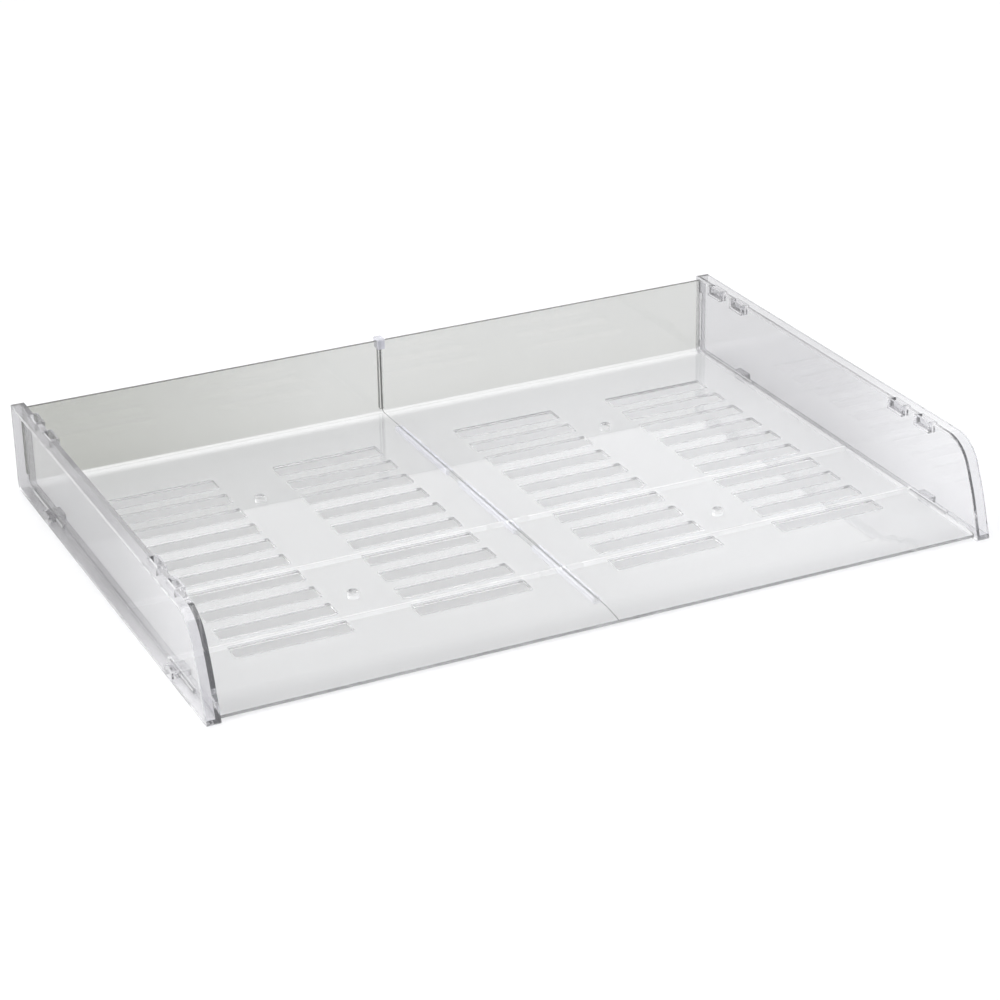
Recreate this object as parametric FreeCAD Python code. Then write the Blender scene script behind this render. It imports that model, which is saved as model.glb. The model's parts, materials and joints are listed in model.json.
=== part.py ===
import FreeCAD, Part
import math
import os

# Clear A3 letter tray, loaded from its long open front. Two mirrored floor-and-back halves meet on
# the centre line, where clips pinch their flanges from below and behind, and hook into two side panels.
# Millimetres, +X right, +Y to the back, +Z up, origin at the centre of the footprint on the desk.

# ---- overall sizes
tray_width = 450.0           # outside of one side panel to the outside of the other
tray_depth = 312.0           # front of the side panels to their rear faces
side_height = 52.0           # desk to the top of the side panels

# ---- side panels
rim_reach = 7.5              # overall thickness of a side panel across its rim
side_wall = 2.4              # the flat web of the panel, on its inner side
rim_wall = 2.2               # the rim that runs round the web, standing outward
rear_foot_radius = 5.0       # bottom rear corner
rear_top_radius = 1.5        # top rear corner
shoulder_setback = 19.5      # front of the tray back to where the top line would meet the slope
shoulder_radius = 22.0       # rounded shoulder between the top line and the front slope
belly_height = 24.0          # height of the slight knee in the front slope
belly_setback = 7.6          # how far behind the sharp corner of the toe that knee lies
belly_radius = 90.0
toe_radius = 1.2             # bottom front corner

# ---- floor
floor_wall = 1.8
floor_top = 5.0              # height of the paper surface above the desk
lip_length = 17.0            # front strip of the floor that rolls down towards the desk
lip_drop = 2.0
lip_setback = 3.4            # lip behind the front face of the side panels
bend_radius = 1.2            # inside bend between floor and back wall

# ---- back wall
back_wall = 2.2
back_inset = 3.6             # rear face of the back wall in front of the panels' rear faces
back_top = 50.4              # height of its top edge

# ---- ventilation slots in the floor, two columns on each half
slot_rows = 10
slot_width = 12.8
slot_corner = 0.8
slots_from_rear = 51.4       # rear edge of the rearmost slot, from the panels' rear faces
slots_from_front = 64.4      # rear edge of the foremost slot, from the panels' front faces
slots_from_centre = 25.0     # inner column's start, from the centre line
slots_from_side = 27.0       # outer column's end, from the side panel
column_gap = 36.5            # between the two columns

# ---- stiffening ribs and support studs under the floor
rib_wall = 1.6
rib_gap = 0.6                # clear of the desk and of the floor clips
rib_bars = (6, 9)            # each rib runs under the bar in front of this many slot rows
stud_radius = 3.3
stud_from_column = 19.9      # centre of a stud outside the inner column's end
stud_from_rear = 84.4
stud_from_front = 93.6
stud_recess_radius = 2.3
stud_recess_depth = 1.6

# ---- tongues of a half that pass through slots in its side panel
tongue_show = 0.8            # stands past the outer face of the web
rear_tongue_length = 56.0
rear_tongue_inset = 14.0     # rear end of that tongue, from the panel's rear face
front_tongue_length = 38.0
front_tongue_inset = 31.0    # front end of that tongue, from the panel's front face
back_tongue_low = 10.0       # height of the lower end of the tongue on the back wall
back_tongue_inset = 8.4      # its upper end below the top of that wall
tongue_clearance = 0.15

# ---- centre joint
flange_wall = 1.3            # one half's flange along the centre line, under the floor and behind the wall
flange_front_inset = 28.0    # front end of the floor flanges, from the panels' front faces
flange_rear_inset = 29.0     # their rear end, from the panels' rear faces
clip_wall = 0.9
clip_gap = 19.5              # mean space between the floor clips
middle_clip_shift = 3.0      # middle clip sits this far behind the middle of the flanges
clip_base = 0.9              # thickness of a floor clip under the flanges
clip_lift = 0.2              # floor clips clear of the desk
clip_clearance = 0.05
clip_corner = 0.3
back_clip_drop = 5.0         # how far the cap reaches down from the top of the back wall
back_clip_rise = 1.1         # above that top edge

# ---- stacking sockets in the top rim, and the matching recesses in the bottom rim
sockets_from_rear = (26.5, 53.0)
sockets_from_front = (82.0, 55.5)
socket_length = 12.0         # slot for the foot of a riser
socket_width = 3.6
socket_depth = 5.0
socket_wall = 1.2
socket_inward = 2.4          # the socket's box stands this far inside the web's inner face
recess_height = 3.2          # box on the bottom rim
recess_length = 9.0
recess_width = 2.6
recess_depth = 4.2

# ---- places that follow from the sizes above
half_width = tray_width / 2
half_depth = tray_depth / 2
inner_face = half_width - rim_reach              # x of the web's inner face
web_face = inner_face + side_wall                # x of the web's outer face
back_rear = half_depth - back_inset
back_front = back_rear - back_wall
floor_bottom = floor_top - floor_wall
lip_front = -half_depth + lip_setback
slot_length = (inner_face - slots_from_centre - slots_from_side - column_gap) / 2
inner_slots = (slots_from_centre, slots_from_centre + slot_length)
outer_slots = (inner_face - slots_from_side - slot_length, inner_face - slots_from_side)
first_slot_back = half_depth - slots_from_rear
slot_pitch = (tray_depth - slots_from_rear - slots_from_front) / (slot_rows - 1)
stud_x = inner_slots[1] + stud_from_column
stud_rows = (half_depth - stud_from_rear, -half_depth + stud_from_front)
socket_rows = [half_depth - back for back in sockets_from_rear]
socket_rows += [-half_depth + front for front in sockets_from_front]
recess_rows = (socket_rows[1], socket_rows[3])
flange_bottom = clip_lift + clip_base
flange_front = -half_depth + flange_front_inset
flange_rear = half_depth - flange_rear_inset
clip_length = (flange_rear - flange_front - 2 * clip_gap) / 3
clip_rows = {
    "rear": flange_rear - clip_length / 2,
    "middle": (flange_rear + flange_front) / 2 + middle_clip_shift,
    "front": flange_front + clip_length / 2,
}
clip_reach = flange_wall + clip_clearance + clip_wall    # half the width of every clip
back_flange_rear = half_depth - clip_wall - clip_clearance


def box(x_range, y_range, z_range):
    """Axis-aligned block between two limits on each axis."""
    size = [high - low for low, high in (x_range, y_range, z_range)]
    corner = FreeCAD.Vector(x_range[0], y_range[0], z_range[0])
    return Part.makeBox(size[0], size[1], size[2], corner)


def rounded_outline(corners, x):
    """Closed wire in the plane X = x through (y, z, radius) corners, each corner an arc."""
    points = [FreeCAD.Vector(x, y, z) for y, z, radius in corners]
    edges = []
    joins = []
    for index, (y, z, radius) in enumerate(corners):
        here = points[index]
        before = (points[index - 1] - here).normalize()
        after = (points[(index + 1) % len(points)] - here).normalize()
        opening = before.getAngle(after)
        reach = radius / math.tan(opening / 2)
        middle = (before + after).normalize()
        to_arc = radius / math.sin(opening / 2) - radius
        joins.append((here + before * reach, here + middle * to_arc, here + after * reach, radius))
    for index, (start, on_arc, end, radius) in enumerate(joins):
        if radius > 0:
            edges.append(Part.Arc(start, on_arc, end).toShape())
        following = joins[(index + 1) % len(joins)][0]
        edges.append(Part.LineSegment(end, following).toShape())
    return Part.Wire(edges)


def mirror_left(shape):
    """The same piece on the other side of the centre line."""
    return shape.mirror(FreeCAD.Vector(0, 0, 0), FreeCAD.Vector(1, 0, 0))


def side_profile():
    """Face of the panel's side view, in the plane of the web's inner face."""
    toe_angle = math.atan2(belly_height, belly_setback)
    toe_corner = -half_depth - toe_radius * (1 / math.tan(toe_angle / 2) - 1)
    corners = [
        (half_depth, 0, rear_foot_radius),
        (half_depth, side_height, rear_top_radius),
        (-half_depth + shoulder_setback, side_height, shoulder_radius),
        (toe_corner + belly_setback, belly_height, belly_radius),
        (toe_corner, 0, toe_radius),
    ]
    return Part.Face(rounded_outline(corners, inner_face))


def socket_span():
    """Low and high x of the slot in a stacking socket on the right side."""
    low = inner_face - socket_inward + socket_wall
    return low, low + socket_width


def side_panel_right():
    """Web with its outward rim, stacking sockets, riser recesses and slots for the tongues."""
    outer = side_profile()
    inner = outer.makeOffset2D(-rim_wall)
    rim = outer.cut(inner).extrude(FreeCAD.Vector(rim_reach, 0, 0))
    web = outer.extrude(FreeCAD.Vector(side_wall, 0, 0))
    panel = web.fuse(rim)
    slot_x = socket_span()
    socket_bottom = side_height - socket_depth
    pockets = []
    slots = []
    for y in socket_rows:
        along = (y - socket_length / 2, y + socket_length / 2)
        grown = (along[0] - socket_wall, along[1] + socket_wall)
        pocket_x = (slot_x[0] - socket_wall, slot_x[1] + socket_wall)
        pockets.append(box(pocket_x, grown, (socket_bottom - socket_wall, side_height)))
        slots.append(box(slot_x, along, (socket_bottom, side_height + 1)))
    recess_middle = (web_face + half_width) / 2
    for y in recess_rows:
        along = (y - recess_length / 2, y + recess_length / 2)
        grown = (along[0] - socket_wall, along[1] + socket_wall)
        hollow_x = (recess_middle - recess_width / 2, recess_middle + recess_width / 2)
        pockets.append(box((web_face - 0.5, half_width), grown, (0, rim_wall + recess_height)))
        slots.append(box(hollow_x, along, (-1, recess_depth)))
    for y_range, z_range in tongue_places():
        gap = tongue_clearance
        x_gap = (inner_face - 1, web_face + tongue_show + gap)
        y_gap = (y_range[0] - gap, y_range[1] + gap)
        z_gap = (z_range[0], z_range[1] + gap)
        slots.append(box(x_gap, y_gap, z_gap))
    panel = panel.fuse(pockets)
    return panel.cut(slots).removeSplitter()


def tongue_places():
    """(y range, z range) of each tongue of a half."""
    rear_end = half_depth - rear_tongue_inset
    front_end = -half_depth + front_tongue_inset
    floor_z = (rim_wall, floor_top)
    return [
        ((rear_end - rear_tongue_length, rear_end), floor_z),
        ((front_end, front_end + front_tongue_length), floor_z),
        ((back_front, back_rear), (back_tongue_low, back_top - back_tongue_inset)),
    ]


def l_section():
    """Side view of floor and back wall in one, in the plane X = 0."""
    roll_start = lip_front + lip_length
    drop_top = FreeCAD.Vector(0, lip_front, floor_top - lip_drop)
    drop_bottom = FreeCAD.Vector(0, lip_front, floor_bottom - lip_drop)
    roll_radius = (lip_length ** 2 + lip_drop ** 2) / (2 * lip_drop)
    half_turn = math.asin(lip_length / roll_radius) / 2
    roll_y = roll_start - roll_radius * math.sin(half_turn)
    roll_fall = roll_radius * (1 - math.cos(half_turn))

    def at(y, z):
        return FreeCAD.Vector(0, y, z)

    outside = bend_radius + floor_wall
    bend_y = back_front - bend_radius
    bend_z = floor_top + bend_radius
    slant = math.sqrt(0.5)
    edges = [
        Part.LineSegment(at(roll_start, floor_top), at(bend_y, floor_top)),
        Part.Arc(at(bend_y, floor_top),
                 at(bend_y + bend_radius * slant, bend_z - bend_radius * slant),
                 at(back_front, bend_z)),
        Part.LineSegment(at(back_front, bend_z), at(back_front, back_top)),
        Part.LineSegment(at(back_front, back_top), at(back_rear, back_top)),
        Part.LineSegment(at(back_rear, back_top), at(back_rear, floor_bottom + outside)),
        Part.Arc(at(back_rear, floor_bottom + outside),
                 at(back_rear - outside * (1 - slant), floor_bottom + outside * (1 - slant)),
                 at(back_rear - outside, floor_bottom)),
        Part.LineSegment(at(back_rear - outside, floor_bottom), at(roll_start, floor_bottom)),
        Part.Arc(at(roll_start, floor_bottom), at(roll_y, floor_bottom - roll_fall), drop_bottom),
        Part.LineSegment(drop_bottom, drop_top),
        Part.Arc(drop_top, at(roll_y, floor_top - roll_fall), at(roll_start, floor_top)),
    ]
    return Part.Face(Part.Wire([edge.toShape() for edge in edges]))


def floor_slots():
    """The open slots of one half, as blocks to cut."""
    blocks = []
    for row in range(slot_rows):
        back = first_slot_back - row * slot_pitch
        for column in (inner_slots, outer_slots):
            block = box(column, (back - slot_width, back), (floor_bottom - 1, floor_top + 1))
            upright = [e for e in block.Edges if abs(e.tangentAt(e.FirstParameter).z) > 0.9]
            blocks.append(block.makeFillet(slot_corner, upright))
    return blocks


def floor_half_right():
    """Floor and back wall of the right half, with ribs, studs, tongues and joint flanges."""
    plate = l_section().extrude(FreeCAD.Vector(inner_face, 0, 0))
    added = []
    for count in rib_bars:
        bar_back = first_slot_back - count * slot_pitch + slot_pitch - slot_width
        bar_front = first_slot_back - count * slot_pitch
        middle = (bar_back + bar_front) / 2
        along = (middle - rib_wall / 2, middle + rib_wall / 2)
        added.append(box((clip_reach + rib_gap, inner_face), along, (rib_gap, floor_bottom + 0.5)))
    hollows = floor_slots()
    up = FreeCAD.Vector(0, 0, 1)
    for y in stud_rows:
        foot = FreeCAD.Vector(stud_x, y, 0)
        dimple = FreeCAD.Vector(stud_x, y, floor_top - stud_recess_depth)
        added.append(Part.makeCylinder(stud_radius, floor_bottom + 0.5, foot, up))
        hollows.append(Part.makeCylinder(stud_recess_radius, stud_recess_depth + 1, dimple, up))
    tongue_x = (inner_face - 1, web_face + tongue_show)
    for y_range, z_range in tongue_places():
        added.append(box(tongue_x, y_range, z_range))
    hanging = (flange_bottom, floor_bottom + 0.5)
    added.append(box((0, flange_wall), (flange_front, flange_rear), hanging))
    spine = (floor_bottom + bend_radius + floor_wall, back_top)
    added.append(box((0, flange_wall), (back_rear - 0.5, back_flange_rear), spine))
    return plate.fuse(added).cut(hollows).removeSplitter()


def floor_clip(y):
    """U-shaped clip pressed up over both floor flanges from below."""
    inside = flange_wall + clip_clearance
    along = (y - clip_length / 2, y + clip_length / 2)
    body = box((-clip_reach, clip_reach), along, (clip_lift, floor_bottom - clip_clearance))
    long_bottom = [e for e in body.Edges if e.CenterOfMass.z < clip_lift + 0.1 and e.Length > clip_length - 1]
    body = body.makeFillet(clip_corner, long_bottom)
    channel = box((-inside, inside), (along[0] - 1, along[1] + 1), (flange_bottom, floor_bottom))
    return body.cut(channel)


def back_clip():
    """Cap over the top of the back wall that also wraps round the two rear flanges."""
    inside = flange_wall + clip_clearance
    low = back_top - back_clip_drop
    lip = (back_front - clip_clearance - clip_wall, half_depth)
    body = box((-clip_reach, clip_reach), lip, (low, back_top + back_clip_rise))
    top_edges = [e for e in body.Edges if e.CenterOfMass.z > back_top and e.CenterOfMass.y < back_rear]
    body = body.makeFillet(clip_corner, top_edges)
    wall_y = (back_front - clip_clearance, back_rear + clip_clearance)
    wall_gap = box((-clip_reach - 1, clip_reach + 1), wall_y, (low - 1, back_top))
    flange_gap = box((-inside, inside), (back_rear, half_depth - clip_wall), (low - 1, back_top))
    return body.cut([wall_gap, flange_gap])


def main():
    panel = side_panel_right()
    half = floor_half_right()
    pieces = {
        "side_panel_right": panel,
        "side_panel_left": mirror_left(panel),
        "floor_half_right": half,
        "floor_half_left": mirror_left(half),
        "back_wall_clip": back_clip(),
    }
    for place, y in clip_rows.items():
        pieces["floor_clip_" + place] = floor_clip(y)
    os.makedirs("parts", exist_ok=True)
    for name, shape in pieces.items():
        shape.exportStep("parts/" + name + ".step")
        print(name, shape.isValid(), len(shape.Solids), round(shape.Volume))


main()
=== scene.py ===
import json
import math

import bmesh
import bpy
from mathutils import Matrix, Vector


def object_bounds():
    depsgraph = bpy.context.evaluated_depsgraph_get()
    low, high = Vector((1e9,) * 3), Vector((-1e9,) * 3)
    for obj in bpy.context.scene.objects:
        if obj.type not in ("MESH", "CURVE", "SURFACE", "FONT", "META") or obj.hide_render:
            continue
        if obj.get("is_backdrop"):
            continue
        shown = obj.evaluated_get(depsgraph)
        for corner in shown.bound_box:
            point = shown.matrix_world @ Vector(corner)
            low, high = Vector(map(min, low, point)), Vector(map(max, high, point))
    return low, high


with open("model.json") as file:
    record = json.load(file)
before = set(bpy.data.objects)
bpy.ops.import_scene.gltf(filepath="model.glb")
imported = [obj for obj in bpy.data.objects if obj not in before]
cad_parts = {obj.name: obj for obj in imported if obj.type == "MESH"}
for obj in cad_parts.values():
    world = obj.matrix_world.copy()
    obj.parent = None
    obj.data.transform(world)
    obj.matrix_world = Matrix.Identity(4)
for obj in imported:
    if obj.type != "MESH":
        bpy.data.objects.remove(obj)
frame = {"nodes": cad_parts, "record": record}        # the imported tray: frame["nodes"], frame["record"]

print("frame loaded:", ", ".join(sorted(frame["nodes"])))
cadBox = [list(corner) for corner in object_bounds()]
rearFace = cadBox[1][1]


def ahead(distances):  # places along Y, each given as a distance in front of the tray's rear face
    return [rearFace - distance for distance in distances]


class Sock:  # a shader socket that can stand in an expression
    def __init__(self, recipe, socket):
        self.recipe = recipe
        self.socket = socket

    def maths(self, operation, first, second):
        return self.recipe.node("ShaderNodeMath", {"operation": operation}, {0: first, 1: second})

    def __add__(self, other):
        return self.maths("ADD", self, other)

    def __radd__(self, other):
        return self.maths("ADD", other, self)

    def __sub__(self, other):
        return self.maths("SUBTRACT", self, other)

    def __rsub__(self, other):
        return self.maths("SUBTRACT", other, self)

    def __mul__(self, other):
        return self.maths("MULTIPLY", self, other)

    def __rmul__(self, other):
        return self.maths("MULTIPLY", other, self)

    def __abs__(self):
        return self.maths("ABSOLUTE", self, 0.0)


class Recipe:  # the nodes of one material, or of the world
    def __init__(self, owner):
        owner.use_nodes = True
        self.owner = owner
        self.tree = owner.node_tree
        self.tree.nodes.clear()

    def node(self, kind, settings=None, values=None, output=0):
        made = self.tree.nodes.new(kind)
        for key, value in (settings or {}).items():
            setattr(made, key, value)
        for key, value in (values or {}).items():
            if isinstance(value, Sock):
                self.tree.links.new(value.socket, made.inputs[key])
            else:
                made.inputs[key].default_value = value
        return Sock(self, made.outputs[output]) if made.outputs else None

    def place(self):  # metres in the tray's own frame
        return self.node("ShaderNodeTexCoord", output="Object")

    def axis(self, place, letter):
        return self.node("ShaderNodeSeparateXYZ", values={0: place}, output=letter)

    def between(self, value, low, high):  # 0 at low, 1 at high, eased
        values = {"Value": value, "From Min": low, "From Max": high}
        return self.node("ShaderNodeMapRange", {"interpolation_type": "SMOOTHSTEP"}, values)

    def stretched(self, place, scale, turn=(0, 0, 0)):
        return self.node("ShaderNodeMapping", values={"Vector": place, "Rotation": turn, "Scale": scale})

    def noise(self, place, scale, detail=3.0, rough=0.5):
        values = {"Vector": place, "Scale": scale, "Detail": detail, "Roughness": rough}
        return self.node("ShaderNodeTexNoise", values=values)

    def blendColours(self, share, first, second):
        return self.node("ShaderNodeMix", {"data_type": "RGBA"}, {0: share, 6: first, 7: second}, output=2)


# Clear moulded plastic. Light from the lamps passes straight through it, so its shadow is pale. Its tint
# is painted darker towards the back and on the left: painted shade.

wear = {
    "alongScale": (18, 900, 900),      # hair scratches, mostly along X
    "alongTurn": (0, 0, 0.5),
    "acrossScale": (700, 14, 700),     # and some along Y
    "acrossTurn": (0, 0, 0.3),
    "scratchFrom": (0.70, 0.80),
    "bloomScale": 22.0,                # the dull bloom of a wiped surface
    "bloomRough": 0.6,
    "bloomFrom": (0.45, 0.75),
    "flowScale": (9, 26, 26),          # slow waves where the melt flowed
    "reliefDepth": 0.001,
}


def clearPlastic(name, look):
    recipe = Recipe(bpy.data.materials.new(name))
    place = recipe.place()
    x, y, z = [recipe.axis(place, letter) for letter in "XYZ"]
    # painted shade: the tint is darkened towards the back and the left
    paintedShade = recipe.between(y, *ahead(look["paintedShadeAhead"])) * recipe.between(z, *look["paintedShadeZ"])
    paintedShade = paintedShade * (recipe.between(x, *look["paintedShadeX"]) * look["paintedShadeSpread"] + look["paintedShadeLeast"])
    cloud = recipe.noise(place, look["cloudScale"], 2.0) - 0.5
    tint = recipe.blendColours(paintedShade + cloud * look["cloudShare"], look["tint"], look["paintedShadeTint"])

    along = recipe.noise(recipe.stretched(place, wear["alongScale"], wear["alongTurn"]), 1.0, 1.0)
    across = recipe.noise(recipe.stretched(place, wear["acrossScale"], wear["acrossTurn"]), 1.0, 1.0)
    scratches = recipe.between(along, *wear["scratchFrom"]) + recipe.between(across, *wear["scratchFrom"])
    bloom = recipe.noise(place, wear["bloomScale"], 5.0, wear["bloomRough"])
    bloom = recipe.between(bloom, *wear["bloomFrom"])
    roughness = scratches * look["scratchDull"] + bloom * look["bloomDull"] + look["roughness"]

    flow = recipe.noise(recipe.stretched(place, wear["flowScale"]), 1.0, 2.0)
    relief = flow * look["flowHeight"] - scratches * look["scratchDepth"]
    bumped = {"Strength": look["bumpStrength"], "Distance": wear["reliefDepth"], "Height": relief}
    normal = recipe.node("ShaderNodeBump", values=bumped)

    body = recipe.node("ShaderNodeBsdfPrincipled", values={
        "Base Color": tint,
        "Roughness": roughness,
        "IOR": look["ior"],
        "Transmission Weight": look["clear"],   # the rest is haze, which fills the dark edges
        "Normal": normal,
    })
    clear = recipe.node("ShaderNodeBsdfTransparent", values={"Color": look["shadowTint"]})
    lampRay = recipe.node("ShaderNodeLightPath", output="Is Shadow Ray")
    if "frost" in look:
        body = frostedWithPaintedGlow(recipe, body, (x, y, z), look["frost"])
    surface = recipe.node("ShaderNodeMixShader", values={0: lampRay, 1: body, 2: clear})
    recipe.node("ShaderNodeOutputMaterial", values={"Surface": surface})
    return recipe.owner


# The stiffening ribs under the floor are matt and carry a faint painted glow, so they show as white lines
# through it.
# The cut faces of the slots and of the floor's edges are partly matt too, with the same painted glow.

def frostedWithPaintedGlow(recipe, body, place, frost):
    x, y, z = place
    first, second = [recipe.between(abs(y - rib), *frost["ribEdge"]) for rib in ahead(frost["ribsAhead"])]
    below = recipe.between(z, *frost["ribTop"])
    facing = recipe.axis(recipe.node("ShaderNodeNewGeometry", output="Normal"), "Z")
    upright = recipe.between(abs(facing), *frost["steep"]) * recipe.between(z, *frost["floorTop"])
    upright = upright * recipe.between(y, *ahead(frost["behindLip"]))
    upright = upright * recipe.between(abs(x), *frost["offSeam"])
    share = (first + second) * below * frost["white"] + upright * frost["cutFaces"]
    # matt white with a faint constant glow; the glow is a painted highlight
    white = recipe.node("ShaderNodeBsdfPrincipled", values={
        "Base Color": frost["colour"],
        "Roughness": frost["roughness"],
        "Emission Color": frost["colour"],
        "Emission Strength": frost["paintedGlow"],
    })
    return recipe.node("ShaderNodeMixShader", values={0: share, 1: body, 2: white})


floorLook = {
    "frost": {
        "ribsAhead": (0.1777, 0.2431),
        "ribEdge": (0.0014, 0.0010),
        "ribTop": (0.0032, 0.0030),
        "white": 0.5,
        "paintedGlow": 0.09,
        "steep": (0.5, 0.3),
        "floorTop": (0.0056, 0.0051),
        "cutFaces": 0.2,
        "behindLip": (0.301, 0.296),
        "offSeam": (0.012, 0.014),
        "roughness": 0.45,
        "colour": (0.97, 0.97, 0.97, 1),
    },
    "tint": (0.957, 0.96, 0.962, 1),
    "paintedShadeTint": (0.50, 0.505, 0.475, 1),
    "paintedShadeAhead": (0.0098, 0.0080),   # painted shade on the back wall, deepest towards its left end
    "paintedShadeZ": (0.0044, 0.0060),
    "paintedShadeX": (0.0, -0.22),
    "paintedShadeSpread": 0.42,
    "paintedShadeLeast": 0.58,
    "cloudScale": 14.0,
    "cloudShare": 0.06,
    "roughness": 0.012,
    "scratchDull": 0.04,
    "bloomDull": 0.02,
    "flowHeight": 0.16,
    "scratchDepth": 0.02,
    "bumpStrength": 0.06,
    "ior": 1.57,
    "clear": 0.945,
    "shadowTint": (0.96, 0.96, 0.96, 1),
}

sideLook = dict(
    {key: value for key, value in floorLook.items() if key != "frost"},
    tint=(0.872, 0.87, 0.885, 1),
    paintedShadeTint=(0.608, 0.605, 0.618, 1),
    paintedShadeAhead=(0.286, 0.136),        # painted shade, fading out towards its front end
    paintedShadeX=(0.0, -0.2),               # painted shade deeper on the left panel
    paintedShadeZ=(-0.02, -0.01),
    paintedShadeSpread=0.30,
    paintedShadeLeast=0.70,
    roughness=0.03,
    clear=0.978,
)

clipLook = dict(
    sideLook,
    clear=0.62,
    tint=(0.95, 0.95, 0.985, 1),
    # painted shade, milder on the clips
    paintedShadeTint=(0.90, 0.90, 0.96, 1),
)

finishes = {
    "side_plastic": clearPlastic("sidePlastic", sideLook),
    "floor_plastic": clearPlastic("floorPlastic", floorLook),
    "clip_plastic": clearPlastic("clipPlastic", clipLook),
}
print("materials made:", len(finishes))


# Softened edges: every moulded edge has a small radius.

softEdge = {
    "radius": 0.00028,
    "clipRadius": 0.00012,
    "sharperThan": math.radians(32),
    "facetAngle": math.radians(21),
    "steps": 2,
    "weld": 1e-6,
    "largeFaces": 100,           # the larger a face, the more its direction counts
}


def softenEdges(piece, radius):
    weld = piece.modifiers.new("weld", "WELD")
    weld.merge_threshold = softEdge["weld"]
    bevel = piece.modifiers.new("edgeRadius", "BEVEL")
    bevel.width = radius
    bevel.segments = softEdge["steps"]
    bevel.limit_method = "ANGLE"
    bevel.angle_limit = softEdge["sharperThan"]
    bevel.use_clamp_overlap = True
    split = piece.modifiers.new("flatFaces", "EDGE_SPLIT")
    split.split_angle = softEdge["facetAngle"]
    even = piece.modifiers.new("evenNormals", "WEIGHTED_NORMAL")
    even.weight = softEdge["largeFaces"]
    even.keep_sharp = True


slotOf = {entry["node"]: entry["material_slot"] for entry in frame["record"]["subparts"]}
for name, piece in frame["nodes"].items():
    piece.data.materials.clear()
    piece.data.materials.append(finishes[slotOf[name]])
    softenEdges(piece, softEdge["clipRadius"] if "clip" in name else softEdge["radius"])
print("finishes and edge radii set on", len(frame["nodes"]), "pieces")


# Pale studio floor with a painted shadow: its colour is a little darker right under the tray, where less
# light reaches it

stage = {
    "reach": 14.0,
    "drop": 0.0003,
    "colour": (0.93, 0.93, 0.925, 1),
    "paintedShadowUnderTray": (0.585, 0.585, 0.585, 1),
    "paintedShadowRight": (0.66, 0.66, 0.665, 1),
    "edgeInside": (0.001, 0.010),
    "rightward": (-0.4, 0.6),    # shares of the half width
    "grainScale": 3.0,
    "grainDull": 0.2,
    "dull": 0.7,
    "shine": 0.1,
}


def makeFloor(low, high):
    mesh = bpy.data.meshes.new("studioFloor")
    build = bmesh.new()
    bmesh.ops.create_grid(build, x_segments=8, y_segments=8, size=stage["reach"])
    bmesh.ops.translate(build, vec=(0, 0, -stage["drop"]), verts=build.verts)
    build.to_mesh(mesh)
    build.free()
    floor = bpy.data.objects.new("studioFloor", mesh)
    bpy.context.scene.collection.objects.link(floor)
    recipe = Recipe(bpy.data.materials.new("paleFloorPaintedShadow"))
    place = recipe.place()
    near, far = stage["edgeInside"]
    overX = recipe.between(abs(recipe.axis(place, "X")), high.x - near, high.x - far)
    overY = recipe.between(abs(recipe.axis(place, "Y")), high.y - near, high.y - far)
    rightward = recipe.between(recipe.axis(place, "X"), *[high.x * share for share in stage["rightward"]])
    # painted shadow under the tray, lighter towards its right side
    under = recipe.blendColours(rightward, stage["paintedShadowUnderTray"], stage["paintedShadowRight"])
    colour = recipe.blendColours(overX * overY, stage["colour"], under)
    grain = recipe.noise(place, stage["grainScale"], 4.0)
    surface = recipe.node("ShaderNodeBsdfPrincipled", values={
        "Base Color": colour,
        "Roughness": grain * stage["grainDull"] + stage["dull"],
        "Specular IOR Level": stage["shine"],
    })
    recipe.node("ShaderNodeOutputMaterial", values={"Surface": surface})
    mesh.materials.append(recipe.owner)
    floor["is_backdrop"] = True


makeFloor(*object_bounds())
print("floor made")


# Studio light: a dome with a bright sweep behind the tray and a dim room in front, and soft lamps

dome = {
    "zenith": (0.80, 0.81, 0.83, 1),
    "sweep": (1.75, 1.75, 1.75, 1),
    "room": (0.73, 0.73, 0.81, 1),
    "strength": 0.62,
    "sweepFrom": (-0.15, 0.45),
    "zenithFrom": (0.45, 0.80),
}
lamps = [
    {"name": "overheadLamp", "at": (-0.3, 0.4, 2.2), "size": 2.6, "watts": 34},
    {"name": "leftLamp", "at": (-2.2, -0.6, 1.4), "size": 1.6, "watts": 12},
    {"name": "rightLamp", "at": (2.2, 0.6, 1.2), "size": 1.4, "watts": 9},
]


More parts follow.
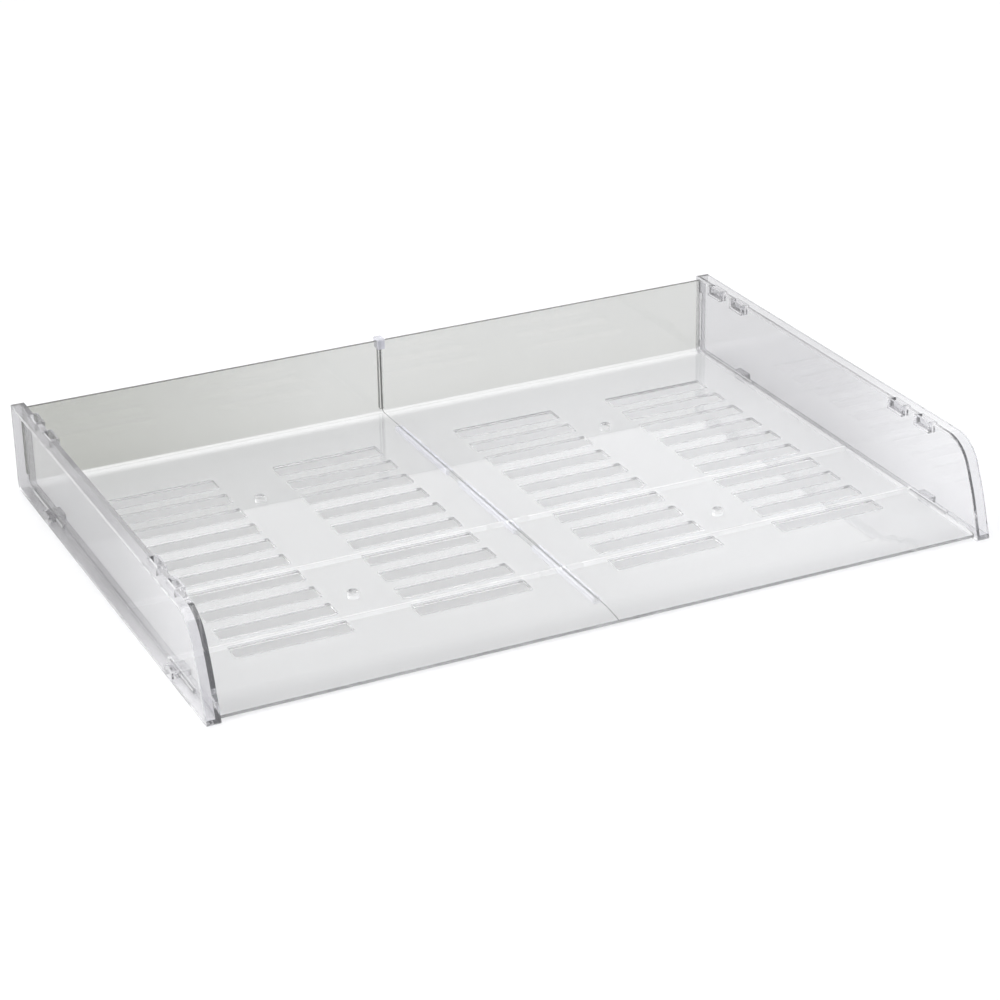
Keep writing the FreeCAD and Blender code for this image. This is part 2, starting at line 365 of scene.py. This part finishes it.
def makeDome():
    world = bpy.data.worlds.new("studioDome")
    bpy.context.scene.world = world
    recipe = Recipe(world)
    way = recipe.node("ShaderNodeTexCoord", output="Generated")
    rearward = recipe.between(recipe.axis(way, "Y"), *dome["sweepFrom"])
    overhead = recipe.between(recipe.axis(way, "Z"), *dome["zenithFrom"])
    sides = recipe.blendColours(rearward, dome["room"], dome["sweep"])
    colour = recipe.blendColours(overhead, sides, dome["zenith"])
    light = recipe.node("ShaderNodeBackground", values={"Color": colour, "Strength": dome["strength"]})
    recipe.node("ShaderNodeOutputWorld", values={"Surface": light})


def makeLamp(lamp):
    data = bpy.data.lights.new(lamp["name"], "AREA")
    data.shape = "SQUARE"
    data.size = lamp["size"]
    data.energy = lamp["watts"]
    made = bpy.data.objects.new(lamp["name"], data)
    made.location = lamp["at"]
    made.rotation_mode = "QUATERNION"
    made.rotation_quaternion = (-Vector(lamp["at"])).to_track_quat("-Z", "Y")
    bpy.context.scene.collection.objects.link(made)


makeDome()
for lamp in lamps:
    makeLamp(lamp)

# Light turns many times inside clear plastic before it leaves an edge
lightPaths = {"max_bounces": 24, "transmission_bounces": 24, "glossy_bounces": 12,
              "transparent_max_bounces": 24}
for setting, value in lightPaths.items():
    setattr(bpy.context.scene.cycles, setting, value)
bpy.context.scene.view_settings.view_transform = "Standard"
print("lights made:", len(lamps))


# Camera: a long lens, from the front left and above

shot = {
    "azimuth": 25.182,       # degrees, from looking along +Y towards +X
    "down": 24.843,
    "roll": -1.059,
    "distance": 1.5588,
    "aim": (0.01188, 0.01294, 0.0),
    "lens": 99.735,
    "sensor": 36.0,
    "sees": (0.05, 60),
}


def makeCamera():
    turn, down = math.radians(shot["azimuth"]), math.radians(shot["down"])
    look = Vector((math.sin(turn) * math.cos(down), math.cos(turn) * math.cos(down), -math.sin(down)))
    data = bpy.data.cameras.new("studioCamera")
    data.lens = shot["lens"]
    data.sensor_width = shot["sensor"]
    data.clip_start, data.clip_end = shot["sees"]
    camera = bpy.data.objects.new("studioCamera", data)
    upright = look.to_track_quat("-Z", "Y").to_matrix().to_4x4()
    camera.matrix_world = (Matrix.Translation(Vector(shot["aim"]) - look * shot["distance"])
                           @ upright @ Matrix.Rotation(math.radians(shot["roll"]), 4, "Z"))
    bpy.context.scene.collection.objects.link(camera)
    bpy.context.scene.camera = camera


makeCamera()
print("camera made")
